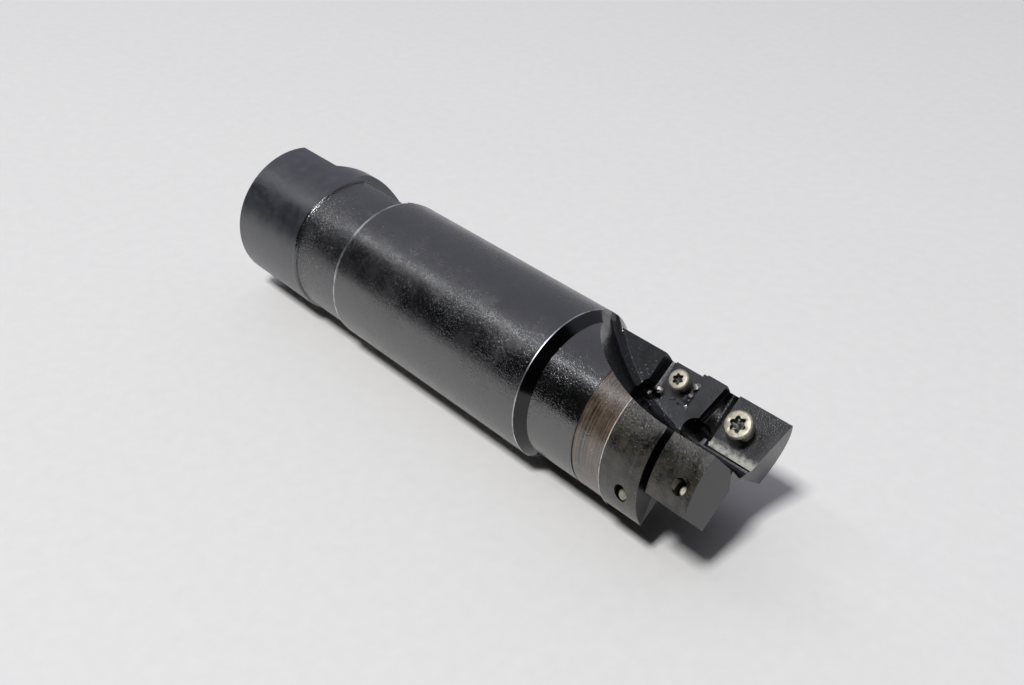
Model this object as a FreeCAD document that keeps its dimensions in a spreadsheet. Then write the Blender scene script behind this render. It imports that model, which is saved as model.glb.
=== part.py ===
import FreeCAD, Part
import os
import Sketcher

# Indexable end mill, lying on its cylindrical shank, in millimetres.
# Every shape is drawn in the seat frame: X runs along the tool axis from 0 at the
# front edge of the shank towards the cutting end, Y lies in the insert seats, and Z
# is square to them. The whole tool is then turned about X by seat_tilt and lifted
# onto the floor. A size in degrees says so.

# Shank, with places measured from its rear end
shank_length = 93  # rear end to front edge
shank_radius = 16  # the clamping shank
shank_chamfer = 0.4  # rear edge
band_start = 22.6  # turned-down band, rear edge
band_end = 36.4  # turned-down band, front edge
band_depth = 0.5
flat_turn = 7.5  # turn of the clamping flats from the seats, degrees
flat_height = 14  # clamping flats, distance from the axis
rear_flat_end = 13  # rear flat, end of its floor
front_flat_start = 20.7  # front flat, start of its floor
front_flat_length = 15.1
# Neck and head, with places measured from the front edge of the shank
seat_tilt = 40  # turn of the seats about the tool axis, degrees
shoulder_length = 2.2  # slope from shank to neck
neck_radius = 14.4
groove_start = 13.6  # fine groove round the neck
groove_width = 0.35
groove_depth = 0.25
head_start = 20.8  # step from neck to head
head_radius = 14.9  # round backs of the teeth
head_length = 40.4  # to the outer corner of the first tooth
end_stock = 1  # left on the blank, for facing its end
# Flutes
wall_offset = 1.7  # flute wall, distance from the middle plane
flute_floor = 0.5  # flute floor above the middle plane
runout_start = 30  # where the flute starts to run out
runout_radius = 41  # run-out curve of the flute wall
floor_round = 1.8  # round between flute wall and floor
shelf_level = -1.4  # lower floor beside the seats of the first tooth
shelf_start = 12.3  # rear end of the lower floor beside the wall
# First tooth
rear_seat_start = 13.2
rear_seat_end = 22.1
rear_seat_inner = 6.4  # inner side, distance from the axis
rear_seat_level = -2.25  # above the middle plane
rear_relief_width = 1.5  # relief slot behind the rear seat
rear_relief_depth = 0.8  # below the seat
rear_end_radius = 1.8  # round inner end of the slot
rear_end_shift = 1  # its centre from the seat's rear edge
rear_end_inset = 0.6  # its centre from the seat's inner side
front_seat_start = 28.95
front_seat_inner = 4  # inner side, distance from the axis
front_seat_level = -2.9  # above the middle plane
front_relief_width = 1.95  # relief slot behind the front seat
front_relief_depth = 1  # below the seat
front_relief_slant = 9.3  # slant of the slot's rear wall, degrees
front_relief_shift = 2.2  # how far the slant reaches back at the inner end
front_end_radius = 2.5  # round inner end of the slot
front_end_gap = 0.65  # between the round end and the seat's edge
front_end_inner = 4.7  # its centre from the axis
round_end_depth = 4  # both round ends, below their seats
end_relief = 14.8  # slope of the first tooth's end face, degrees
# Second tooth
second_seat_level = 3  # both seats, above the middle plane
second_seat_inner = 7  # rear seat, inner side from the axis
second_seat_start = 21.2  # rear edge of the rear seat
second_wall_foot = 1  # how far the wall under the rear seat slopes out
slot_start = 29.7  # rear wall of the slot across the tooth
slot_width = 1.6
slot_floor = 5.5  # above the middle plane
block_width = 9.4  # front block, middle plane to its outer side
block_end = 39.85  # front face of the front block
web_corner = 4  # where the wall turns into the web
web_low = -2.2  # where the web meets the first tooth
web_side = 2.03  # web, distance from the middle plane there
tooth_lean = 8.4  # lean of the first tooth's inner wall, degrees
bevel_start = 1.06  # bevel between block and web, from the middle plane
bevel_turn = 52.9  # turn of that bevel, degrees
# Screws
screw_play = 0.03  # clearance round each screw
large_thread = 1.9  # front screw of the first tooth, radius
large_head = 2.72  # its head radius
large_rise = 4.2  # its head top above the seat
large_length = 10.5  # its length over all
small_thread = 1.4  # the other screws, radius
small_head = 2.05  # their head radius
small_rise = 3.3  # head top of the two rear screws above their seats
small_length = 8.3  # length of the two rear screws
home_rise = 1.6  # head top of the second tooth's front screw, which is screwed home
home_length = 9.4  # its length over all
tip_slope = 0.5  # chamfer at a screw's tip
rim_height = 0.45  # straight rim of a screw head
rim_slope = 0.2  # how much the rim narrows
cone_angle = 30  # half angle under a screw head, degrees
large_star = 1.4  # star recess of the large head, radius
small_star = 0.98  # star recess of the small heads, radius
star_waist = 0.76  # share of the star's radius between its lobes
lobe_share = 0.27  # share of the star's radius in one lobe
recess_depth = 1.1
front_screw_x = 33.5
front_screw_y = 9.5
rear_screw_x = 18.6
rear_screw_y = 11.1
second_front_x = 37
second_front_y = -5.6
second_rear_x = 26.1
second_rear_y = -10.6
second_rear_lean = 12  # lean of the second tooth's rear screw, degrees

# Every size goes into the sheet under its own name.
sizes = {name: value for name, value in list(globals().items()) if isinstance(value, (int, float))}
os.makedirs("parts", exist_ok=True)
doc = FreeCAD.newDocument("EndMill")
sheet = doc.addObject("Spreadsheet::Sheet", "Sizes")
for row, (name, value) in enumerate(sizes.items(), 1):
    sheet.set("A%d" % row, name)
    sheet.set("B%d" % row, str(value))
    sheet.setAlias("B%d" % row, name)
doc.recompute()

V = FreeCAD.Vector
ALONG = (0, 1, 0)
ACROSS = (1, 0, 0)
UPRIGHT = (0, 0, 1)
# A reach past the outside of the tool from anywhere in it.
FAR = "(2 * shank_radius)"


def named(text):
    """An expression with every size name pointed at the sheet."""
    words = []
    word = ""
    for letter in str(text) + " ":
        if letter.isalnum() or letter in "_.":
            word += letter
            continue
        if word:
            words.append("Sizes." + word if "_" in word else word)
            word = ""
        words.append(letter)
    return "".join(words).strip()


def placement(at, axis=UPRIGHT, angle="0"):
    """The expression of a place, turned about an axis there."""
    return "placement(vector(%s; %s; %s); rotation(vector(%d; %d; %d); %s))" % (*at, *axis, angle)


def place(thing, at, axis=UPRIGHT, angle="0", slide=None):
    """Puts a shape at a place, turned, then slid along its own Z axis."""
    text = placement(at, axis, angle)
    if slide:
        text += " * " + placement((0, 0, slide))
    thing.setExpression("Placement", named(text))


def add(kind, name, sizes, at=(0, 0, 0), axis=UPRIGHT, angle="0", slide=None):
    """One primitive, its sizes and its place bound to the sheet."""
    thing = doc.addObject(kind, name)
    for key, text in sizes.items():
        thing.setExpression(key, named(text))
    place(thing, at, axis, angle, slide)
    return thing


def prism(name, corners, start, length):
    """A straight solid along X from a sketch whose corners are sizes."""
    sketch = doc.addObject("Sketcher::SketchObject", name + "_sketch")
    drawn = [V(sheet.evalExpression(named(y)), sheet.evalExpression(named(z)), 0) for y, z in corners]
    count = len(drawn)
    for i in range(count):
        sketch.addGeometry(Part.LineSegment(drawn[i], drawn[(i + 1) % count]))
    for i in range(count):
        sketch.addConstraint(Sketcher.Constraint("Coincident", i, 2, (i + 1) % count, 1))
    for i, (y, z) in enumerate(corners):
        k = sketch.addConstraint(Sketcher.Constraint("DistanceX", i, 1, drawn[i].x))
        sketch.setExpression("Constraints[%d]" % k, named(y))
        k = sketch.addConstraint(Sketcher.Constraint("DistanceY", i, 1, drawn[i].y))
        sketch.setExpression("Constraints[%d]" % k, named(z))
    place(sketch, (start, 0, 0), (1, 1, 1), "120")
    solid = doc.addObject("Part::Extrusion", name)
    solid.Base = sketch
    solid.DirMode = "Normal"
    solid.Solid = True
    solid.setExpression("LengthFwd", named(length))
    return solid


def join(name, things):
    """One solid from several."""
    whole = doc.addObject("Part::MultiFuse", name)
    whole.Shapes = things
    whole.Refine = True
    return whole


def common(name, things):
    """What several solids share."""
    shared = doc.addObject("Part::MultiCommon", name)
    shared.Shapes = things
    return shared


def cut(name, base, tool):
    """The base without the tool, checked to have lost something."""
    result = doc.addObject("Part::Cut", name)
    result.Base = base
    result.Tool = tool
    doc.recompute()
    removed = base.Shape.Volume - result.Shape.Volume
    print("%-22s removes %.1f mm3" % (name, removed))
    if removed <= 0:
        raise ValueError(name + " cuts nothing")
    return result


def half_turn(name, thing):
    """The same solid half a turn round the tool axis."""
    twin = doc.addObject("Part::Feature", name)
    shape = thing.Shape.copy()
    shape.rotate(V(0, 0, 0), V(1, 0, 0), 180)
    twin.Shape = shape
    return twin


# Blank: shank, band, shoulder, neck, ring and head, all round the X axis.


def turned(name, start, end, radius, end_radius=None):
    """One turned length, straight or tapered."""
    height = "(%s) - (%s)" % (end, start)
    if end_radius:
        return add("Part::Cone", name, {"Radius1": radius, "Radius2": end_radius, "Height": height},
                   (start, 0, 0), ALONG, "90")
    return add("Part::Cylinder", name, {"Radius": radius, "Height": height}, (start, 0, 0), ALONG, "90")


groove_end = "groove_start + groove_width"
blank = join("blank", [
    turned("rear_edge", "-shank_length", "shank_chamfer - shank_length",
           "shank_radius - shank_chamfer", "shank_radius"),
    turned("rear_shank", "shank_chamfer - shank_length", "band_start - shank_length", "shank_radius"),
    turned("band", "band_start - shank_length", "band_end - shank_length", "shank_radius - band_depth"),
    turned("front_shank", "band_end - shank_length", "0", "shank_radius"),
    turned("shoulder", "0", "shoulder_length", "shank_radius", "neck_radius"),
    turned("neck", "shoulder_length", "groove_start", "neck_radius"),
    turned("groove", "groove_start", groove_end, "neck_radius - groove_depth"),
    turned("ring", groove_end, "head_start", "neck_radius"),
    turned("head", "head_start", "head_length + end_stock", "head_radius"),
])


def flat(name, start, end, start_slope, end_slope):
    """The cutter of a clamping flat: a wedge whose ends can slope up at 45 degrees."""
    return add("Part::Wedge", name, {
        "Ymin": "flat_height", "Ymax": "flat_height + shank_radius",
        "Xmin": start, "X2min": "%s - %s * shank_radius" % (start, start_slope),
        "Xmax": end, "X2max": "%s + %s * shank_radius" % (end, end_slope),
        "Zmin": "-" + FAR, "Zmax": FAR, "Z2min": "-" + FAR, "Z2max": FAR,
    }, (0, 0, 0), ACROSS, "flat_turn")


flats = join("flats", [
    flat("rear_flat", "-2 * shank_length", "rear_flat_end - shank_length", 0, 1),
    flat("front_flat", "front_flat_start - shank_length",
         "front_flat_start + front_flat_length - shank_length", 1, 1),
])
shank_with_flats = cut("shank_with_flats", blank, flats)

# First flute: an upright wall that runs out in a wide curve, rounded into a flat floor.
# Beside the seats the same wall goes on down to a lower floor, the shelf.


def flute(name, floor):
    """A flute down to a floor, with a rounded corner all along its wall."""
    centre = ("runout_start", "wall_offset + runout_radius")
    inner = "runout_radius - floor_round"
    foot = "wall_offset + floor_round"
    corner = "%s + floor_round" % floor
    ahead = {"Length": FAR, "Width": FAR, "Height": FAR}
    return join(name, [
        add("Part::Cylinder", name + "_run_high", {"Radius": "runout_radius", "Height": FAR},
            (*centre, corner)),
        add("Part::Cylinder", name + "_run_low", {"Radius": inner, "Height": FAR}, (*centre, floor)),
        add("Part::Torus", name + "_run_round", {"Radius1": inner, "Radius2": "floor_round"},
            (*centre, corner)),
        add("Part::Box", name + "_high", ahead, ("runout_start", "wall_offset", corner)),
        add("Part::Box", name + "_low", ahead, ("runout_start", foot, floor)),
        add("Part::Cylinder", name + "_round", {"Radius": "floor_round", "Height": FAR},
            ("runout_start", foot, corner), ALONG, "90"),
    ])


shelf_space = join("shelf_space", [
    add("Part::Box", "shelf_beside", {"Length": FAR, "Width": "rear_seat_inner", "Height": "2 * " + FAR},
        ("shelf_start", 0, "-" + FAR)),
    add("Part::Box", "shelf_seats", {"Length": FAR, "Width": FAR, "Height": "2 * " + FAR},
        ("rear_seat_start", 0, "-" + FAR)),
])
shelf = common("shelf", [flute("lower_flute", "shelf_level"), shelf_space])
flute_tool = join("flute_tool", [flute("upper_flute", "flute_floor"), shelf])
first_flute = cut("first_flute", shank_with_flats, flute_tool)

# Insert seats of the first tooth, each with a relief slot behind it that ends in a
# round hole at the seat's inner corner.


def open_box(name, length, at, angle="0"):
    """A box of a given length along X, open past the outside of the tool."""
    return add("Part::Box", name, {"Length": length, "Width": FAR, "Height": FAR}, at, UPRIGHT, angle)


rear_slot_floor = "rear_seat_level - rear_relief_depth"
front_slot_floor = "front_seat_level - front_relief_depth"
seats = join("seats", [
    open_box("rear_seat", "rear_seat_end - rear_seat_start",
             ("rear_seat_start", "rear_seat_inner", "rear_seat_level")),
    open_box("rear_relief", "rear_relief_width", ("rear_seat_start", "rear_seat_inner", rear_slot_floor)),
    add("Part::Cylinder", "rear_relief_end", {"Radius": "rear_end_radius", "Height": FAR},
        ("rear_seat_start + rear_end_shift", "rear_seat_inner + rear_end_inset",
         "rear_seat_level - round_end_depth")),
    prism("front_seat",
          [("wall_offset", FAR), ("wall_offset", "web_corner"), ("front_seat_inner", "front_seat_level"),
           (FAR, "front_seat_level"), (FAR, FAR)],
          "front_seat_start", FAR),
    open_box("front_relief", "front_relief_width",
             ("front_seat_start - front_relief_width", "front_end_inner", front_slot_floor)),
    open_box("slanted_relief", "front_relief_width",
             ("front_seat_start - front_relief_width - front_relief_shift", "front_end_inner",
              front_slot_floor), "-front_relief_slant"),
    add("Part::Cylinder", "front_relief_end", {"Radius": "front_end_radius", "Height": FAR},
        ("front_seat_start - front_end_radius - front_end_gap", "front_end_inner",
         "front_seat_level - round_end_depth")),
])
first_tooth = cut("first_tooth", first_flute, seats)

# Second flute, half a turn on, and the seats on the underside of the second tooth.
second_flute = cut("second_flute", first_tooth, half_turn("second_flute_tool", flute_tool))
slot_end = "slot_start + slot_width"
underside = prism("underside",
                  [("-" + FAR, "second_seat_level"), ("-bevel_start", "second_seat_level"),
                   ("web_side", "web_low"),
                   ("web_side + (web_low + %s) * tan(tooth_lean)" % FAR, "-" + FAR), ("-" + FAR, "-" + FAR)],
                  slot_end, FAR)
second_rear_seat = prism("second_rear_seat",
                         [("-" + FAR, "second_seat_level"), ("-second_seat_inner", "second_seat_level"),
                          ("-wall_offset - second_wall_foot", "-flute_floor"), ("-wall_offset", "-" + FAR),
                          ("-" + FAR, "-" + FAR)],
                         "second_seat_start", slot_end + " - second_seat_start")
slot = add("Part::Box", "slot", {"Length": "slot_width", "Width": "2 * " + FAR, "Height": FAR},
           ("slot_start", "-" + FAR, "slot_floor"))
outer_cut = add("Part::Box", "outer_cut", {"Length": FAR, "Width": FAR, "Height": "2 * " + FAR},
                ("slot_start", "-%s - block_width" % FAR, "-" + FAR))
second_tooth = cut("second_tooth", second_flute,
                   join("second_tools", [underside, second_rear_seat, slot, outer_cut]))

# Front ends: a sloping end face on the first tooth and the web, a square one on the block.
# The sloping face leans back below the outer corner of the first tooth.
everywhere = {"Length": FAR, "Width": "2 * " + FAR, "Height": "2 * " + FAR}
corner_height = ("(sqrt(head_radius * head_radius - front_seat_level * front_seat_level) * sin(seat_tilt)"
                 " + front_seat_level * cos(seat_tilt))")
sloping_plane = add("Part::Box", "sloping_plane", everywhere)
sloping_plane.setExpression("Placement", named(" * ".join([
    placement(("head_length - %s * tan(end_relief)" % corner_height, 0, 0), ACROSS, "-seat_tilt"),
    placement((0, 0, 0), ALONG, "end_relief"),
    placement((0, "-" + FAR, "-" + FAR)),
])))
tooth_side = add("Part::Box", "tooth_side", {"Length": FAR, "Width": FAR, "Height": "2 * " + FAR},
                 ("slot_start", "-bevel_start", "second_seat_level"), ACROSS, "bevel_turn - 90", "-" + FAR)
sloping_end = common("sloping_end", [sloping_plane, tooth_side])
square_end = cut("square_end", add("Part::Box", "square_slab", everywhere, ("block_end", "-" + FAR, "-" + FAR)),
                 tooth_side)
fronted = cut("fronted", second_tooth, join("front_ends", [sloping_end, square_end]))

# Screws: each stands on its own seat, whose Z axis points from the seat to the head.
# The second tooth's seats face the other way, and its rear screw leans.
screw_seats = {
    "front_screw_1": (("front_screw_x", "front_screw_y", "front_seat_level"), "0"),
    "rear_screw_1": (("rear_screw_x", "rear_screw_y", "rear_seat_level"), "0"),
    "front_screw_2": (("second_front_x", "second_front_y", "second_seat_level"), "180"),
    "rear_screw_2": (("second_rear_x", "second_rear_y", "second_seat_level"), "180 + second_rear_lean"),
}


def screw(name, make, rise, length):
    """A countersunk screw with a six-lobed star recess, its head top at rise above the seat."""
    thread, head, star = [make + word for word in ("_thread", "_head", "_star")]
    cone = "(%s - %s) / tan(cone_angle)" % (head, thread)
    tip = "%s - %s" % (rise, length)
    shape = join(name + "_solid", [
        add("Part::Cone", name + "_tip", {"Radius1": thread + " - tip_slope", "Radius2": thread,
                                          "Height": "tip_slope"}, (0, 0, tip)),
        add("Part::Cylinder", name + "_shaft",
            {"Radius": thread, "Height": length + " - rim_height - tip_slope"}, (0, 0, tip + " + tip_slope")),
        add("Part::Cone", name + "_cone", {"Radius1": thread, "Radius2": head, "Height": cone},
            (0, 0, "%s - rim_height - %s" % (rise, cone))),
        add("Part::Cone", name + "_rim", {"Radius1": head, "Radius2": head + " - rim_slope",
                                          "Height": "rim_height"}, (0, 0, rise + " - rim_height")),
    ])
    floor = rise + " - recess_depth"
    star_tool = [add("Part::Cylinder", name + "_star", {"Radius": star + " * star_waist",
                                                        "Height": "2 * recess_depth"}, (0, 0, floor))]
    for i in range(6):
        out = "%s * (1 - lobe_share)" % star
        star_tool.append(add("Part::Cylinder", name + "_lobe_%d" % (i + 1),
                             {"Radius": star + " * lobe_share", "Height": "2 * recess_depth"},
                             ("%s * cos(%d)" % (out, 60 * i), "%s * sin(%d)" % (out, 60 * i), floor)))
    return cut(name, shape, join(name + "_recess", star_tool))


def screw_hole(name, make, rise):
    """The hole of a screw, from its head's height out through the back of the tooth."""
    at, turn = screw_seats[name]
    return add("Part::Cylinder", name + "_hole", {"Radius": make + "_thread + screw_play",
                                                  "Height": "%s + %s" % (FAR, rise)},
               at, ACROSS, turn, "-" + FAR)


screw_makes = {
    "front_screw_1": ("large", "large_rise", "large_length"),
    "rear_screw_1": ("small", "small_rise", "small_length"),
    "front_screw_2": ("small", "home_rise", "home_length"),
    "rear_screw_2": ("small", "small_rise", "small_length"),
}
screws = {name: screw(name, *make) for name, make in screw_makes.items()}
holes = join("screw_holes", [screw_hole(name, *make[:2]) for name, make in screw_makes.items()])
cutter = cut("cutter_body", fronted, holes)

# The tool lies along X with its middle over the origin and its shank on the floor.
laid = placement(("(shank_length - head_length) / 2", 0, "shank_radius"), ACROSS, "seat_tilt")
cutter.setExpression("Placement", named(laid))
for name, solid in screws.items():
    at, turn = screw_seats[name]
    solid.setExpression("Placement", named(laid + " * " + placement(at, ACROSS, turn)))
nodes = {"cutter_body": cutter, **screws}
doc.recompute()

for thing in doc.Objects:
    if "Invalid" in thing.State or "Error" in thing.State:
        raise ValueError(thing.Name + " failed: " + str(thing.State))
    if hasattr(thing, "Shape") and (thing.Shape.isNull() or not thing.Shape.isValid()):
        raise ValueError(thing.Name + " has a bad shape")
for name, solid in nodes.items():
    solid.Label = name
    if len(solid.Shape.Solids) != 1:
        raise ValueError("%s is %d solids" % (name, len(solid.Shape.Solids)))
    solid.Shape.exportStep("parts/" + name + ".step")
    box = solid.Shape.BoundBox
    print("%-14s X %.2f..%.2f Y %.2f..%.2f Z %.2f..%.2f volume %.0f"
          % (name, box.XMin, box.XMax, box.YMin, box.YMax, box.ZMin, box.ZMax, solid.Shape.Volume))
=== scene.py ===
# %% [markdown]
# This scene dresses one indexable end mill: a cutting tool that a milling machine
# turns to carve metal. It lies on a sheet of pale paper. The carbide inserts that do
# the cutting are gone, and the screws that held them are left standing.
#
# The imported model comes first. It is a fixed frame in metres: nothing in it is moved,
# and every piece made here sits where the frame says.

import bpy
import bmesh
import math
import random
from mathutils import Matrix, Vector


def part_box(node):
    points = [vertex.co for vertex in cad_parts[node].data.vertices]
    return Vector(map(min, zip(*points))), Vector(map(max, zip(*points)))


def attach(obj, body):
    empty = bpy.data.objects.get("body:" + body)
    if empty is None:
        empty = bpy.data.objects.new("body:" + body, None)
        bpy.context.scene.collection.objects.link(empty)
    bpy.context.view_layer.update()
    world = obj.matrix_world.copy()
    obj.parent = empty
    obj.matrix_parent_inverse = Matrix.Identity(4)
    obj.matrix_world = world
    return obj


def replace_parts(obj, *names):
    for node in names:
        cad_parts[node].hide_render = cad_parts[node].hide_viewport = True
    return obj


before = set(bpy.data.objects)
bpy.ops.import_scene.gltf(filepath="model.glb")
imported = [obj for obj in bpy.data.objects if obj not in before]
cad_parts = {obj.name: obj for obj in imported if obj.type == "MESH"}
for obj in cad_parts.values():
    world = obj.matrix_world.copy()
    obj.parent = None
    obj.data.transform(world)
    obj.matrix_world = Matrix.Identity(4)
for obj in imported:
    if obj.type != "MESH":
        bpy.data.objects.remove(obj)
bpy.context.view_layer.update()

# %% [markdown]
# A machinist measures a tool from its rear end, in millimetres. The helpers below let
# the scene do the same: a station is the distance from the rear end of the shank.
# The insert seats are turned 40 degrees about the tool's axis, so a seat point is
# given as a station, a distance along the seats, and a height above the middle plane.

# %% Stations and seat points
MM = 0.001
REAR_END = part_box("cutter_body")[0].x
AXIS_HEIGHT = 16 * MM
SEAT_TILT = math.radians(40)


def seat_point(station, along, above):
    """A point of the seat frame, in metres of the row frame."""
    c, s = math.cos(SEAT_TILT), math.sin(SEAT_TILT)
    return Vector((
        REAR_END + station * MM,
        (along * c - above * s) * MM,
        AXIS_HEIGHT + (along * s + above * c) * MM,
    ))


def seat_numbers(point):
    """The station, distance along and height above of a point, in millimetres."""
    c, s = math.cos(SEAT_TILT), math.sin(SEAT_TILT)
    y, z = point.y / MM, (point.z - AXIS_HEIGHT) / MM
    return (point.x - REAR_END) / MM, y * c + z * s, z * c - y * s


print("rear end at", round(REAR_END / MM, 2), "mm")

# %% [markdown]
# The camera stands in front of the cutting end, on the near side of the tool, and
# looks down at it. Its place and lens were worked out from the round edges of the
# shank in the photograph, which are ellipses of known centres.

# %% Camera
camera = bpy.data.objects.new("camera", bpy.data.cameras.new("camera"))
bpy.context.scene.collection.objects.link(camera)
camera.location = Vector((148.92, -129.44, 153.44)) * MM
sight = Vector((-0.59710, 0.55212, -0.58192))
camera.rotation_euler = sight.to_track_quat("-Z", "Y").to_euler()
camera.data.sensor_width = 36
camera.data.lens = 41.2
camera.data.clip_start = 0.01
bpy.context.scene.camera = camera
print("camera looks along", tuple(round(n, 3) for n in sight))

# %% [markdown]
# Colours are written as the hex values that a picture shows. Shaders work with
# linear light, so one function turns them round. A second small function adds a
# shader node, sets its values and links its inputs, so that a material below reads
# as a short list. A node's stops are the places and colours of a colour ramp.

# %% Colour and node helpers


def linear(text):
    """An sRGB hex colour as linear red, green, blue and alpha."""
    values = [int(text[i:i + 2], 16) / 255 for i in (1, 3, 5)]
    return tuple(v / 12.92 if v <= 0.04045 else ((v + 0.055) / 1.055) ** 2.4 for v in values) + (1.0,)


def add_node(material, kind, inputs=None, stops=(), **settings):
    """Adds a node, sets its properties and colour stops, and fills its inputs with values or links."""
    node = material.node_tree.nodes.new(kind)
    for name, value in settings.items():
        setattr(node, name, value)
    for element, (position, colour) in enumerate(stops):
        node.color_ramp.elements[element].position = position
        node.color_ramp.elements[element].color = colour
    for name, value in (inputs or {}).items():
        if isinstance(value, bpy.types.NodeSocket):
            material.node_tree.links.new(value, node.inputs[name])
        else:
            node.inputs[name].default_value = value
    return node


def new_material(name):
    """An empty material with its shader and its object coordinates in metres."""
    material = bpy.data.materials.new(name)
    material.use_nodes = True
    material.node_tree.nodes.clear()
    shader = add_node(material, "ShaderNodeBsdfPrincipled")
    add_node(material, "ShaderNodeOutputMaterial", {"Surface": shader.outputs["BSDF"]})
    place = add_node(material, "ShaderNodeTexCoord").outputs["Object"]
    return material, shader, place


def spread(size_mm):
    """The noise scale whose blobs are about this many millimetres wide."""
    return 1 / (size_mm * MM)


BLACK, WHITE = linear("#000000"), linear("#ffffff")
print("mid grey in linear light", [round(v, 3) for v in linear("#808080")[:3]])

# %% [markdown]
# The body is tool steel with black oxide on it, a thin magnetite film that the steel
# grows in a hot salt bath. The film is a dark mineral, not bare metal, so the shader
# is a dielectric with metallic at zero and a high IOR of 2.1 to 2.3, a little under
# solid magnetite's 2.4 because the film is porous. The shoulder is wet with oil, which
# brings its IOR down to 1.5.
#
# Years of chips and cleaning leave such a surface finely marked. The marks are about
# 0.3 mm wide, gather in patches, and tilt the surface far enough to throw small glints
# of the lamp, which is what makes the highlight look broken. Where both noises peak the
# film is rubbed off and a speck of grey steel shows. The lathe's feed lines run round
# the axis. They are 0.1 to 0.3 mm apart, too fine to show one by one, so they are drawn
# at about 0.4 mm.

# %% Black oxide finishes


def blackened(name, dark, light, rough, blotch_mm=5.0, speck=0.90, speck_colour="#8d8c88",
              dents=0.5, lines=0.15, line_mm=0.4, wave=0.6, ior=2.1, streaks=0.0):
    """Black oxide: blotches between two tones, dents, rubbed specks, and lathe lines round the axis."""
    material, shader, place = new_material(name)
    blotch = add_node(material, "ShaderNodeTexNoise",
                      {"Vector": place, "Scale": spread(blotch_mm), "Detail": 4, "Roughness": 0.6})
    grain = add_node(material, "ShaderNodeTexNoise",
                     {"Vector": place, "Scale": spread(0.3), "Detail": 2, "Roughness": 0.55})
    patch = add_node(material, "ShaderNodeTexNoise",
                     {"Vector": place, "Scale": spread(9), "Detail": 2, "Roughness": 0.5})
    lifted = add_node(material, "ShaderNodeMath", {0: patch.outputs["Fac"], 1: 0.5, 2: grain.outputs["Fac"]},
                      operation="MULTIPLY_ADD")
    halved = add_node(material, "ShaderNodeMath", {0: lifted.outputs["Value"], 1: 0.5}, operation="MULTIPLY")
    rubbed = add_node(material, "ShaderNodeValToRGB", {"Fac": halved.outputs["Value"]},
                      stops=((speck / 2, BLACK), (speck / 2 + 0.02, WHITE))).outputs["Color"]
    roughness = add_node(material, "ShaderNodeMapRange",
                         {"Value": blotch.outputs["Fac"], 1: 0.3, 2: 0.7,
                          3: rough - 0.08 * wave, 4: rough + 0.08 * wave})
    stretch = add_node(material, "ShaderNodeVectorMath",
                       {0: place, 1: (spread(line_mm), 40, 40)}, operation="MULTIPLY")
    feed = add_node(material, "ShaderNodeTexNoise",
                    {"Vector": stretch.outputs["Vector"], "Scale": 1, "Detail": 2})
    streaked = add_node(material, "ShaderNodeMix",
                        {"Factor": streaks, 2: blotch.outputs["Fac"], 3: feed.outputs["Fac"]})
    tone = add_node(material, "ShaderNodeValToRGB", {"Fac": streaked.outputs[0]},
                    stops=((0.36, linear(dark)), (0.64, linear(light)))).outputs["Color"]
    colour = add_node(material, "ShaderNodeMix", {"Factor": rubbed, 6: tone, 7: linear(speck_colour)},
                      data_type="RGBA")
    pits = add_node(material, "ShaderNodeValToRGB", {"Fac": lifted.outputs["Value"]},
                    stops=((0.78, BLACK), (1.0, WHITE))).outputs["Color"]
    pitted = add_node(material, "ShaderNodeMath", {0: pits, 1: lifted.outputs["Value"]}, operation="ADD")
    dented = add_node(material, "ShaderNodeMath", {0: pitted.outputs["Value"], 1: dents}, operation="MULTIPLY")
    lined = add_node(material, "ShaderNodeMath",
                     {0: feed.outputs["Fac"], 1: lines, 2: dented.outputs["Value"]}, operation="MULTIPLY_ADD")
    waved = add_node(material, "ShaderNodeMath",
                     {0: blotch.outputs["Fac"], 1: wave, 2: lined.outputs["Value"]}, operation="MULTIPLY_ADD")
    bump = add_node(material, "ShaderNodeBump",
                    {"Height": waved.outputs["Value"], "Strength": 1, "Distance": 0.1 * MM})
    links = material.node_tree.links
    links.new(colour.outputs[2], shader.inputs["Base Color"])
    links.new(roughness.outputs["Result"], shader.inputs["Roughness"])
    links.new(bump.outputs["Normal"], shader.inputs["Normal"])
    shader.inputs["IOR"].default_value = ior
    return material


matt_shank = blackened("matt_blackened_shank", "#12141a", "#2a2d34", 0.36, blotch_mm=2.5, speck=1.15, dents=0.12,
                       lines=0.05, wave=0.35)
worn_band = blackened("rubbed_blackened_band", "#09090d", "#1a1b20", 0.26, speck=0.96, speck_colour="#8c8c8c",
                      dents=0.38, ior=2.2)
barrel_steel = blackened("blackened_barrel", "#060609", "#131316", 0.25, speck=1.01, speck_colour="#8c8c8c",
                         dents=0.26, wave=0.7, ior=2.25)
shoulder_steel = blackened("blackened_shoulder", "#020202", "#060607", 0.12, speck=1.10, dents=0.02, wave=0.2,
                           ior=1.5)
neck_steel = blackened("blackened_neck", "#050505", "#121211", 0.15, speck=1.04, dents=0.20, wave=0.5, ior=2.3)
print("black oxide finishes made")
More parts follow.
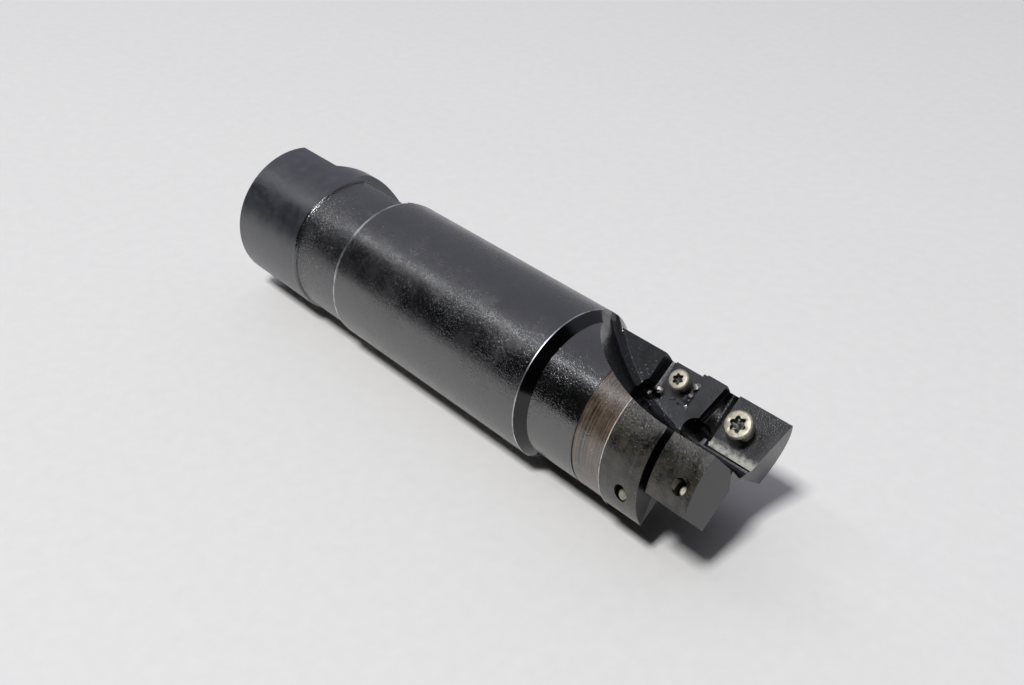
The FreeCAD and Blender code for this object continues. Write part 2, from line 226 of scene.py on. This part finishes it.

# %% [markdown]
# Close to the cutting end the tool has been hot and has been rubbed by chips. The
# ring behind the head is browned and scratched round and round, the backs of the
# teeth are a warm grey, and the pockets are dark with tiny bright specks of metal.
# Old cutting oil fills the film's pores everywhere there but on the ring. It brings
# the surface's IOR down to between 1.45 and 1.7, and makes the flutes and the pocket
# floors smooth. The flutes, the screw holes and the deep pocket ends are also coloured
# near-black as painted shade, for the shade that falls in these recesses.

# %% Finishes of the head
browned_ring = blackened("browned_scratched_ring", "#15100d", "#6a594a", 0.25, blotch_mm=3, speck=0.97,
                         speck_colour="#c3b09c", dents=0.16, lines=0.3, line_mm=0.26, streaks=0.6)
land_steel = blackened("tooth_back_steel", "#080807", "#3f3b33", 0.27, blotch_mm=3, speck=0.97,
                       speck_colour="#a9a79c", dents=0.30, streaks=0.25, ior=1.7)
seat_steel = blackened("insert_seat_steel", "#090a0f", "#1a1d26", 0.34, blotch_mm=2.5, speck=0.98,
                       speck_colour="#8f949e", dents=0.14, lines=0, wave=0.3, ior=1.65)
pocket_steel = blackened("pocket_steel", "#040509", "#10121a", 0.30, blotch_mm=2.5, speck=0.95,
                         speck_colour="#8f949e", dents=0.14, lines=0, wave=0.3, ior=1.5)
# The flute finish and the oily finish of the recesses are coloured near-black as painted shade; the oil gives them
# their low IOR.
flute_steel_with_painted_shade = blackened("oily_flute_with_painted_shade", "#020203", "#08090c", 0.15, blotch_mm=2.5, speck=1.00,
                        speck_colour="#6f747e", dents=0.08, lines=0, wave=0.3, ior=1.5)
oily_steel_with_painted_shade = blackened("oily_pocket_floor_with_painted_shade", "#010102", "#050506", 0.17, blotch_mm=2.5, speck=1.00,
                       speck_colour="#8f949e", dents=0.05, lines=0, wave=0.3, ior=1.45)
end_steel = blackened("milled_end_face", "#08090c", "#121317", 0.30, speck=1.10, dents=0.03, lines=0, wave=0.2,
                      ior=1.5)
print("head finishes made")

# %% [markdown]
# Sharp corners lose the film first. A worn edge is bare steel, a metal, so metallic
# is one and the IOR keeps its default. Noise leaves the film in place here and there,
# so that the bright line breaks up as it does on a used tool.

# %% Worn edges
worn_edge, edge_shader, edge_place = new_material("worn_bare_edge")
edge_noise = add_node(worn_edge, "ShaderNodeTexNoise",
                      {"Vector": edge_place, "Scale": spread(2.2), "Detail": 4, "Roughness": 0.7})
edge_colour = add_node(worn_edge, "ShaderNodeValToRGB", {"Fac": edge_noise.outputs["Fac"]},
                       stops=((0.40, linear("#444445")), (0.58, linear("#d2d0ca")))).outputs["Color"]
worn_edge.node_tree.links.new(edge_colour, edge_shader.inputs["Base Color"])
edge_shader.inputs["Metallic"].default_value = 1.0
edge_shader.inputs["Roughness"].default_value = 0.38

rubbed_rim, rim_shader, rim_place = new_material("rubbed_bare_rim")
rim_noise = add_node(rubbed_rim, "ShaderNodeTexNoise",
                     {"Vector": rim_place, "Scale": spread(3), "Detail": 3, "Roughness": 0.6})
rim_colour = add_node(rubbed_rim, "ShaderNodeValToRGB", {"Fac": rim_noise.outputs["Fac"]},
                      stops=((0.35, linear("#8d8e91")), (0.60, linear("#d5d6d9")))).outputs["Color"]
rubbed_rim.node_tree.links.new(rim_colour, rim_shader.inputs["Base Color"])
rim_shader.inputs["Metallic"].default_value = 1.0
rim_shader.inputs["Roughness"].default_value = 0.36
print("worn edges made")

# %% [markdown]
# Two places on the head are rubbed bare. An insert was pressed against the inner edge
# of the front seat, and its chips rubbed a strip there that fades outwards. The edge
# where the head begins, just ahead of the browned ring, is rubbed to a fine line. Each
# mask measures a place in metres and breaks the fade up with noise.

# %% Rubbed places of the head
front_seat_steel = blackened("rubbed_front_seat", "#08090d", "#14161d", 0.33, blotch_mm=2.5, speck=0.99,
                             speck_colour="#8f949e", dents=0.14, lines=0, wave=0.3, ior=1.65)


def rub_bare(material, direction, covered, bare, low, high, colour):
    """Mixes a bare colour in where a measured place goes from covered to bare, in metres."""
    place = add_node(material, "ShaderNodeTexCoord").outputs["Object"]
    noise = add_node(material, "ShaderNodeTexNoise",
                     {"Vector": place, "Scale": spread(0.9), "Detail": 4, "Roughness": 0.65})
    measured = add_node(material, "ShaderNodeVectorMath", {0: place, 1: direction}, operation="DOT_PRODUCT")
    fade = add_node(material, "ShaderNodeMapRange", {"Value": measured.outputs["Value"], 1: covered, 2: bare})
    level = add_node(material, "ShaderNodeMath", {0: noise.outputs["Fac"], 1: fade.outputs["Result"]},
                     operation="MULTIPLY")
    mask = add_node(material, "ShaderNodeValToRGB", {"Fac": level.outputs["Value"]},
                    stops=((low, BLACK), (high, WHITE))).outputs["Color"]
    shader = material.node_tree.nodes["Principled BSDF"]
    covered_colour = shader.inputs["Base Color"].links[0].from_socket
    mixed = add_node(material, "ShaderNodeMix", {"Factor": mask, 6: covered_colour, 7: linear(colour)},
                     data_type="RGBA")
    material.node_tree.links.new(mixed.outputs[2], shader.inputs["Base Color"])


AXIS_ALONG = AXIS_HEIGHT * math.sin(SEAT_TILT)
HEAD_START = 113.8
rub_bare(front_seat_steel, (0, math.cos(SEAT_TILT), math.sin(SEAT_TILT)),
         AXIS_ALONG + 7.2 * MM, AXIS_ALONG + 4.6 * MM, 0.22, 0.52, "#a5a59d")
rub_bare(land_steel, (1, 0, 0),
         REAR_END + (HEAD_START + 0.30) * MM, REAR_END + (HEAD_START + 0.05) * MM, 0.18, 0.40, "#c9c6bd")
print("rubbed places made")

# %% [markdown]
# The body of the tool is one piece. Its mesh is a copy of the frame's, cleaned of
# the flat triangles' inner edges. The round edges of the shank are bevelled first, and
# the two beside the band slope gently, twice as long as they are deep. Each other
# sharp edge then gets a bevel of at most 0.13 mm, because no real edge is a perfect
# corner, and the narrow bevel is what catches the light. The bevels of outside corners
# get the worn edge material, and those of inside corners keep the finish beside them.
# Last, each turned face is shaded as the true round surface, with normals that point
# straight away from the axis.

# %% Cutter body
FINISHES = {
    "edge": worn_edge, "shank": matt_shank, "band": worn_band, "barrel": barrel_steel, "neck": neck_steel,
    "ring": browned_ring, "seat": seat_steel, "end": end_steel, "land": land_steel, "oily": oily_steel_with_painted_shade,
    "shoulder": shoulder_steel, "flute": flute_steel_with_painted_shade, "front seat": front_seat_steel, "rim": rubbed_rim,
    "pocket": pocket_steel,
}
FINISH_NUMBER = {name: number for number, name in enumerate(FINISHES)}
KEPT_FINISH = -1
BAND_REAR, BAND_FRONT, SHANK_FRONT, SHOULDER_FRONT, RING_REAR, RING_FRONT = 22.6, 36.4, 93.0, 95.15, 106.7, 113.9
TURNED_ZONES = ((BAND_REAR, "shank"), (BAND_FRONT, "band"), (SHANK_FRONT + 0.05, "barrel"),
                (SHOULDER_FRONT, "shoulder"))
STEPS_ROUNDED = {BAND_REAR: (0.48, "neck"), BAND_FRONT: (0.48, "rim"), SHANK_FRONT: (0.12, "rim")}
CHAMFER_SLOPE = 2.0
EDGE_WIDTH = 0.13 * MM
SAME_PLACE = 0.0003 * MM
SEAT_NORMAL = Vector((0, -math.sin(SEAT_TILT), math.cos(SEAT_TILT)))
FRONT_SEAT_ABOVE = -2.9


def in_screw_hole(face):
    """Whether a face is in one of the two screw holes that open on the near side."""
    for station, along, turn in ((130.0, -5.6, 180), (119.1, -10.6, 192)):
        axis = Matrix.Rotation(SEAT_TILT + math.radians(turn), 3, "X") @ Vector((0, 0, 1))
        if all((v.co - seat_point(station, along, 3.0)).cross(axis).length < 1.6 * MM for v in face.verts):
            return True
    return False


def zone_of(face):
    """Which finish a face of the body has, by where it lies and which way it faces."""
    # Screw holes and the deep pocket ends take the oily finish, whose near-black colour is painted shade.
    if in_screw_hole(face):
        return "oily"
    centre = face.calc_center_median()
    station, along, above = seat_numbers(centre)
    for front, zone in TURNED_ZONES:
        if station < front:
            return zone
    out = Vector((0, centre.y, centre.z - AXIS_HEIGHT))
    turned = out.length > 12.5 * MM and face.normal.dot(out.normalized()) > 0.8
    if not turned and station > SHOULDER_FRONT + 0.15:
        if face.normal.x > 0.9:
            return "end"
        if station > 105 and -8 < above < -3.2 and along > 0:
            return "oily"
        if face.normal.dot(SEAT_NORMAL) > 0.98:
            return "front seat" if abs(above - FRONT_SEAT_ABOVE) < 0.1 else "seat" if above < -1.3 else "pocket"
        # The flutes' finish is near-black as painted shade of the recess between the teeth.
        return "flute"
    if station < RING_REAR:
        return "neck"
    return "ring" if station < RING_FRONT else "land"


def is_sharp(edge):
    """An outside or inside corner of more than 28 degrees."""
    return edge.is_manifold and edge.calc_face_angle(0) > math.radians(28)


def on_step(edge, step):
    """Whether an edge is the round edge of the shank at a station."""
    ends = [seat_numbers(v.co) for v in edge.verts]
    return all(math.hypot(e[1], e[2]) > 15.8 and abs(e[0] - step) < 0.05 for e in ends)


def bevel(work, edges, width, segments, finish):
    """Rounds edges to a width in metres, with a numbered finish."""
    bmesh.ops.bevel(work, geom=edges, offset=width, segments=segments, profile=0.5, affect="EDGES",
                    clamp_overlap=True, material=finish)


def round_steps(work):
    """Bevels the round edges of the shank, and slopes the two beside the band."""
    for step, (width, finish) in STEPS_ROUNDED.items():
        round_edge = [e for e in work.edges if is_sharp(e) and on_step(e, step)]
        bevel(work, round_edge, width * MM, 4, FINISH_NUMBER[finish])
    for vert in work.verts:
        station, along, above = seat_numbers(vert.co)
        beside_band = BAND_REAR - 0.55 < station < BAND_REAR or BAND_FRONT < station < BAND_FRONT + 0.55
        if math.hypot(along, above) > 15.55 and beside_band:
            step = BAND_REAR if station < BAND_REAR else BAND_FRONT
            vert.co.x = REAR_END + (step + (station - step) * CHAMFER_SLOPE) * MM


def bevel_corners(work):
    """Bevels the other sharp corners, and returns their number."""
    done = (FINISH_NUMBER["edge"], FINISH_NUMBER["rim"])
    sharp = [e for e in work.edges if is_sharp(e) and not any(f.material_index in done for f in e.link_faces)]
    outside = [e for e in sharp if e.is_convex]
    inside = [e for e in sharp if not e.is_convex]
    bevel(work, outside, EDGE_WIDTH, 2, FINISH_NUMBER["edge"])
    bevel(work, [e for e in inside if e.is_valid], EDGE_WIDTH, 2, KEPT_FINISH)
    return len(sharp)


def shade_round(body):
    """Shades flat faces evenly and turned faces as true round surfaces."""
    shading = body.modifiers.new("even shading", "WEIGHTED_NORMAL")
    shading.weight = 80
    even = body.evaluated_get(bpy.context.evaluated_depsgraph_get()).to_mesh()
    normals = [Vector(c.vector) for c in even.corner_normals]
    body.to_mesh_clear()
    body.modifiers.remove(shading)
    for face in body.data.polygons:
        corners = [body.data.vertices[i].co for i in face.vertices]
        radial = [Vector((0, v.y, v.z - AXIS_HEIGHT)).normalized() for v in corners]
        if all(r.dot(face.normal) > 0.985 for r in radial):
            for loop, direction in zip(face.loop_indices, radial):
                normals[loop] = direction
    body.data.normals_split_custom_set(normals)


def make_body():
    """The bevelled copy of the frame's body, with a finish for each zone."""
    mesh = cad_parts["cutter_body"].data.copy()
    mesh.materials.clear()
    for material in FINISHES.values():
        mesh.materials.append(material)
    work = bmesh.new()
    work.from_mesh(mesh)
    bmesh.ops.remove_doubles(work, verts=work.verts, dist=0.001 * MM)
    bmesh.ops.dissolve_limit(work, angle_limit=math.radians(0.8), verts=work.verts, edges=work.edges)
    work.normal_update()
    for face in work.faces:
        face.material_index = FINISH_NUMBER[zone_of(face)]
        face.smooth = True
    round_steps(work)
    bevelled = bevel_corners(work)
    bmesh.ops.remove_doubles(work, verts=work.verts, dist=SAME_PLACE)
    print("open edges:", sum(not e.is_manifold for e in work.edges))
    work.to_mesh(mesh)
    work.free()
    body = bpy.data.objects.new("body_of_the_cutter", mesh)
    bpy.context.scene.collection.objects.link(body)
    shade_round(body)
    print("cutter body", len(mesh.polygons), "faces,", bevelled, "small edges bevelled")
    return body


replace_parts(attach(make_body(), "root"), "cutter_body")

# %% [markdown]
# The seat screws are small countersunk screws with a six-lobed star recess. Their
# steel has a pale, straw-coloured coat, and the star is coloured near-black as painted
# shade of its hollow. The head is a ring with a chamfer outside and the star in its
# middle. Below it a cone would press the insert down, and the thread below that goes
# into the tooth.

# %% Screw finishes
screw_coat, coat_shader, coat_place = new_material("pale_coated_screw")
coat_noise = add_node(screw_coat, "ShaderNodeTexNoise",
                      {"Vector": coat_place, "Scale": spread(0.8), "Detail": 4, "Roughness": 0.6})
coat_colour = add_node(screw_coat, "ShaderNodeValToRGB", {"Fac": coat_noise.outputs["Fac"]},
                       stops=((0.30, linear("#a09a88")), (0.66, linear("#cfcabb")))).outputs["Color"]
coat_bump = add_node(screw_coat, "ShaderNodeBump",
                     {"Height": coat_noise.outputs["Fac"], "Strength": 0.12, "Distance": 0.1 * MM})
screw_coat.node_tree.links.new(coat_colour, coat_shader.inputs["Base Color"])
screw_coat.node_tree.links.new(coat_bump.outputs["Normal"], coat_shader.inputs["Normal"])
coat_shader.inputs["Metallic"].default_value = 1.0
coat_shader.inputs["Roughness"].default_value = 0.55

# The star recess is near-black with a few pale specks: painted shade of its deep hollow.
recess_painted_shade, recess_shader, recess_place = new_material("screw_recess_painted_shade")
recess_noise = add_node(recess_painted_shade, "ShaderNodeTexNoise",
                        {"Vector": recess_place, "Scale": spread(0.5), "Detail": 3, "Roughness": 0.6})
recess_colour = add_node(recess_painted_shade, "ShaderNodeValToRGB", {"Fac": recess_noise.outputs["Fac"]},
                         stops=((0.46, linear("#0b0b0c")), (0.66, linear("#8a867e")))).outputs["Color"]
recess_painted_shade.node_tree.links.new(recess_colour, recess_shader.inputs["Base Color"])
recess_shader.inputs["Roughness"].default_value = 0.45
print("screw finishes made")

# %% [markdown]
# A turned shape like a screw is a profile swept round an axis. Each ring below is a
# radius and a depth under the head's top, in millimetres, and a ring of material 1
# belongs to the recess. The star recess is a ring whose radius
# swells and sinks six times in a turn. The thread is the same sweep with the radius
# following a helix of the right pitch: 0.5 mm for the small screws and 0.7 mm for
# the large one.

# %% Screws
STEPS = 96


def star(angle, radius):
    """The edge of a six-lobed recess: round lobes outside, round bays between."""
    wave = 0.5 + 0.5 * math.cos(6 * angle)
    return radius * (0.72 + 0.28 * wave ** 0.8)


def make_screw(name, node, station, along, seat, thread, head, top, length, recess, pitch, turn):
    """One screw on its seat, its head's top at a height above it along the screw's own axis."""
    rim, slope, deep = 0.45, 0.2, 1.1
    cone = (head - thread) / math.tan(math.radians(30))
    work = bmesh.new()
    rings = []

    def ring(radius_at, depth, material=0):
        angles = [2 * math.pi * i / STEPS for i in range(STEPS)]
        rings.append(([work.verts.new((radius_at(a) * math.cos(a), radius_at(a) * math.sin(a), -depth))
                       for a in angles], material))

    ring(lambda a: star(a, recess) * 0.45, deep + 0.25, 1)
    ring(lambda a: star(a, recess) * 0.97, deep, 1)
    ring(lambda a: star(a, recess), 0.10, 1)
    ring(lambda a: star(a, recess) * 1.04, 0.03)
    ring(lambda a: star(a, recess) * 1.09, 0.0)
    ring(lambda a: head - 0.34, 0.0)
    ring(lambda a: head - 0.30, 0.015)
    ring(lambda a: head - 0.05, slope)
    ring(lambda a: head, slope + 0.06)
    ring(lambda a: head, rim - 0.05)
    ring(lambda a: head - 0.04, rim)
    ring(lambda a: thread + 0.02, rim + cone)
    depth = rim + cone + 0.3
    while depth < length - 0.6:
        ring(lambda a, d=depth: thread - 0.02 - 0.11 * abs(((d / pitch + a / (2 * math.pi)) % 1.0) * 2 - 1), depth)
        depth += pitch / 8
    ring(lambda a: thread - 0.12, length - 0.5)
    ring(lambda a: thread - 0.5, length)
    for (inner, _), (outer, material) in zip(rings, rings[1:]):
        for i in range(STEPS):
            j = (i + 1) % STEPS
            face = work.faces.new((inner[i], inner[j], outer[j], outer[i]))
            face.material_index = material
            face.smooth = True
    bottom = work.faces.new(rings[0][0])
    bottom.material_index = 1
    work.faces.new(list(reversed(rings[-1][0])))
    bmesh.ops.scale(work, vec=(MM, MM, MM), verts=work.verts)
    bmesh.ops.recalc_face_normals(work, faces=work.faces)
    mesh = bpy.data.meshes.new(name)
    work.to_mesh(mesh)
    work.free()
    mesh.materials.append(screw_coat)
    mesh.materials.append(recess_painted_shade)
    mesh.set_sharp_from_angle(angle=math.radians(24))
    screw = bpy.data.objects.new(name, mesh)
    bpy.context.scene.collection.objects.link(screw)
    seat_place = Matrix.Translation(seat_point(station, along, seat))
    lean = Matrix.Rotation(SEAT_TILT + math.radians(turn), 4, "X")
    screw.matrix_world = seat_place @ lean @ Matrix.Translation((0, 0, top * MM))
    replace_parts(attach(screw, "root"), node)
    print(name, len(mesh.polygons), "faces")


make_screw("seat_screw_front_1", "front_screw_1", 126.5, 9.5, -2.9, 1.9, 2.72, 4.2, 10.5, 1.55, 0.7, 0)
make_screw("seat_screw_rear_1", "rear_screw_1", 111.6, 11.1, -2.25, 1.4, 2.05, 3.3, 8.3, 1.08, 0.5, 0)
make_screw("seat_screw_front_2", "front_screw_2", 130.0, -5.6, 3.0, 1.4, 2.05, 1.6, 9.4, 0.98, 0.5, 180)
make_screw("seat_screw_rear_2", "rear_screw_2", 119.1, -10.6, 3.0, 1.4, 2.05, 3.3, 8.3, 0.98, 0.5, 192)

# %% [markdown]
# A few chips of cut metal and some grime are still on the seats. A chip is a short
# curled ribbon, about 0.1 mm thick. Grime is a low lump. Each row below gives the
# station, the distance along the seat and the seat's height, then the length, width
# and rise in millimetres, and the turn on the seat in degrees.

# %% Chips and grime
chip_metal, chip_shader, chip_place = new_material("bare_metal_chip")
chip_noise = add_node(chip_metal, "ShaderNodeTexNoise",
                      {"Vector": chip_place, "Scale": spread(0.6), "Detail": 4, "Roughness": 0.7})
chip_colour = add_node(chip_metal, "ShaderNodeValToRGB", {"Fac": chip_noise.outputs["Fac"]},
                       stops=((0.35, linear("#3f4044")), (0.62, linear("#bdbbb6")))).outputs["Color"]
chip_metal.node_tree.links.new(chip_colour, chip_shader.inputs["Base Color"])
chip_shader.inputs["Metallic"].default_value = 1.0
chip_shader.inputs["Roughness"].default_value = 0.4

grime, grime_shader, grime_place = new_material("oily_grime")
grime_noise = add_node(grime, "ShaderNodeTexNoise",
                       {"Vector": grime_place, "Scale": spread(0.6), "Detail": 5, "Roughness": 0.7})
grime_colour = add_node(grime, "ShaderNodeValToRGB", {"Fac": grime_noise.outputs["Fac"]},
                        stops=((0.42, linear("#0c0d10")), (0.66, linear("#6d6f74")))).outputs["Color"]
grime_bump = add_node(grime, "ShaderNodeBump",
                      {"Height": grime_noise.outputs["Fac"], "Strength": 0.8, "Distance": 0.3 * MM})
grime.node_tree.links.new(grime_colour, grime_shader.inputs["Base Color"])
grime.node_tree.links.new(grime_bump.outputs["Normal"], grime_shader.inputs["Normal"])
grime_shader.inputs["Roughness"].default_value = 0.4

CHIPS = ((113.9, 11.6, -2.25, 2.4, 1.3, 0.7, 55), (114.2, 9.9, -2.25, 1.7, 0.8, 0.5, 100),
         (108.0, 8.1, -1.4, 1.9, 0.7, 0.4, 15), (107.0, 6.6, -1.4, 1.0, 0.7, 0.3, 80),
         (114.4, 7.9, -2.25, 1.4, 0.6, 0.4, 150))
LUMPS = ((111.2, 7.9, -2.25, 1.3, 0.5, 0.30, 30), (113.2, 9.3, -2.25, 1.5, 0.6, 0.35, 75),
         (112.8, 7.7, -2.25, 0.9, 0.7, 0.30, 10), (108.6, 7.6, -1.4, 1.2, 0.5, 0.25, 30))


def lying_on_seat(station, along, above, turn):
    """The place of a thing that lies on a seat, turned on it by some degrees."""
    seat = Matrix.Translation(seat_point(station, along, above)) @ Matrix.Rotation(SEAT_TILT, 4, "X")
    return seat @ Matrix.Rotation(math.radians(turn), 4, "Z")


def lay_ribbon(work, station, along, above, length, width, rise, turn, chance):
    """Adds a curled ribbon of metal to a mesh, on a seat."""
    place = lying_on_seat(station, along, above, turn)
    rows = []
    for i in range(9):
        way = i / 8
        middle = chance.uniform(-0.06, 0.06)
        lift = 0.06 + rise * math.sin(math.pi * way) * chance.uniform(0.85, 1.1)
        half = width * 0.5 * (0.4 + 0.6 * math.sin(math.pi * (0.15 + 0.7 * way))) * chance.uniform(0.8, 1.1)
        corners = ((-half, lift), (half, lift + chance.uniform(-0.05, 0.15)), (half, lift - 0.08), (-half, lift - 0.1))
        rows.append([work.verts.new(place @ (Vector((length * (way - 0.5), middle + y, max(z, 0.0))) * MM))
                     for y, z in corners])
    for near, far in zip(rows, rows[1:]):
        for k in range(4):
            work.faces.new((near[k], near[(k + 1) % 4], far[(k + 1) % 4], far[k]))
    work.faces.new(rows[0])
    work.faces.new(list(reversed(rows[-1])))


def lay_lump(work, station, along, above, length, width, rise, turn, chance):
    """Adds a low uneven lump to a mesh, on a seat."""
    place = lying_on_seat(station, along, above, turn)
    ball = bmesh.ops.create_icosphere(work, subdivisions=3, radius=1)["verts"]
    for vert in ball:
        push = 1 + chance.uniform(-0.18, 0.18)
        stretched = Vector((vert.co.x * length / 2, vert.co.y * width / 2, vert.co.z * rise)) * push
        vert.co = place @ (stretched * MM)
    for face in {f for v in ball for f in v.link_faces}:
        face.material_index = 1


def make_swarf():
    """One mesh with all the chips and lumps."""
    work = bmesh.new()
    chance = random.Random(11)
    for chip in CHIPS:
        lay_ribbon(work, *chip, chance)
    for lump in LUMPS:
        lay_lump(work, *lump, chance)
    bmesh.ops.recalc_face_normals(work, faces=work.faces)
    mesh = bpy.data.meshes.new("chips_and_grime")
    work.to_mesh(mesh)
    work.free()
    mesh.materials.append(chip_metal)
    mesh.materials.append(grime)
    swarf = bpy.data.objects.new("chips_and_grime", mesh)
    bpy.context.scene.collection.objects.link(swarf)
    print("chips and grime", len(mesh.polygons), "faces")
    return swarf


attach(make_swarf(), "root")

# %% [markdown]
# The tool lies on white drawing paper: a rough, uncoated sheet with a very slight
# unevenness of tone.

# %% Paper
paper, paper_shader, paper_place = new_material("drawing_paper")
paper_noise = add_node(paper, "ShaderNodeTexNoise",
                       {"Vector": paper_place, "Scale": spread(3), "Detail": 3, "Roughness": 0.5})
paper_colour = add_node(paper, "ShaderNodeValToRGB", {"Fac": paper_noise.outputs["Fac"]},
                        stops=((0.3, linear("#ebeae8")), (0.7, linear("#eeedeb")))).outputs["Color"]
paper.node_tree.links.new(paper_colour, paper_shader.inputs["Base Color"])
paper_shader.inputs["Roughness"].default_value = 0.9
paper_shader.inputs["IOR"].default_value = 1.3
floor_mesh = bpy.data.meshes.new("paper_floor")
floor_mesh.from_pydata([(-3, -3, 0), (3, -3, 0), (3, 3, 0), (-3, 3, 0)], [], [(0, 1, 2, 3)])
floor_mesh.materials.append(paper)
floor = bpy.data.objects.new("paper_floor", floor_mesh)
bpy.context.scene.collection.objects.link(floor)
print("paper laid")

# %% [markdown]
# A glossy black surface shows what is around it more than its own colour, so the room
# matters as much as the lamps. Overhead and behind the tool the room is pale, as a
# white ceiling is. On the near side, from two fifths of the way down, it is dark. That
# edge gives the shank its black band, and the paper below it gives the pale one. It is
# dark ahead of the cutting end too, so the sloping shoulder is black. The room lights
# the paper only faintly, so that the lamp's shadow stays deep.

# %% Room
world = bpy.data.worlds.new("studio")
bpy.context.scene.world = world
world.use_nodes = True
world.node_tree.nodes.clear()
room_place = add_node(world, "ShaderNodeTexCoord").outputs["Generated"]
room_axes = add_node(world, "ShaderNodeSeparateXYZ", {"Vector": room_place})
ceiling_side = add_node(world, "ShaderNodeMath",
                        {0: room_axes.outputs["Z"], 1: 0.75, 2: room_axes.outputs["Y"]},
                        operation="MULTIPLY_ADD")
ahead = add_node(world, "ShaderNodeMapRange", {"Value": room_axes.outputs["X"], 1: 0.0, 2: 0.35, 3: 0, 4: -0.9})
ceiling = add_node(world, "ShaderNodeMath", {0: ceiling_side.outputs["Value"], 1: ahead.outputs["Result"]},
                   operation="ADD")
room_tone = add_node(world, "ShaderNodeValToRGB", {"Fac": ceiling.outputs["Value"]},
                     stops=((0.0, linear("#09090b")), (0.16, linear("#a3a4af")))).outputs["Color"]
seen_in_gloss = add_node(world, "ShaderNodeLightPath").outputs["Is Glossy Ray"]
room_level = add_node(world, "ShaderNodeMapRange", {"Value": seen_in_gloss, 3: 0.95, 4: 1.0})
room = add_node(world, "ShaderNodeBackground", {"Color": room_tone, "Strength": room_level.outputs["Result"]})
add_node(world, "ShaderNodeOutputWorld", {"Surface": room.outputs["Background"]})
print("room lit")

# %% [markdown]
# Two lamps complete it. The ceiling lamp is small and high on the near side. It casts
# the shadow and lights every small dent that faces it. A long, dim strip gives the
# soft highlight along the shank.

# %% Lamps


def soft_lamp(name, place, aim, size, watts):
    """An area lamp, as long as size says along X, that points at a place on the tool."""
    data = bpy.data.lights.new(name, "AREA")
    data.shape = "RECTANGLE"
    data.size, data.size_y = size
    data.energy = watts
    lamp = bpy.data.objects.new(name, data)
    bpy.context.scene.collection.objects.link(lamp)
    lamp.location = place
    away = (Vector(place) - Vector(aim)).normalized()
    side = Vector((1, 0, 0)) - away * away.x
    side.normalize()
    lamp.rotation_euler = Matrix((side, away.cross(side), away)).transposed().to_euler()
    lamp.visible_camera = False
    print(name, watts, "W")


soft_lamp("ceiling_lamp", (0.18, -0.92, 1.86), (0.06, 0, 0.01), (0.34, 0.34), 33)
soft_lamp("highlight_strip", (-0.80, -0.41, 1.0), (0, 0, 0.01), (0.7, 0.09), 0.8)
bpy.context.scene.view_settings.view_transform = "Standard"
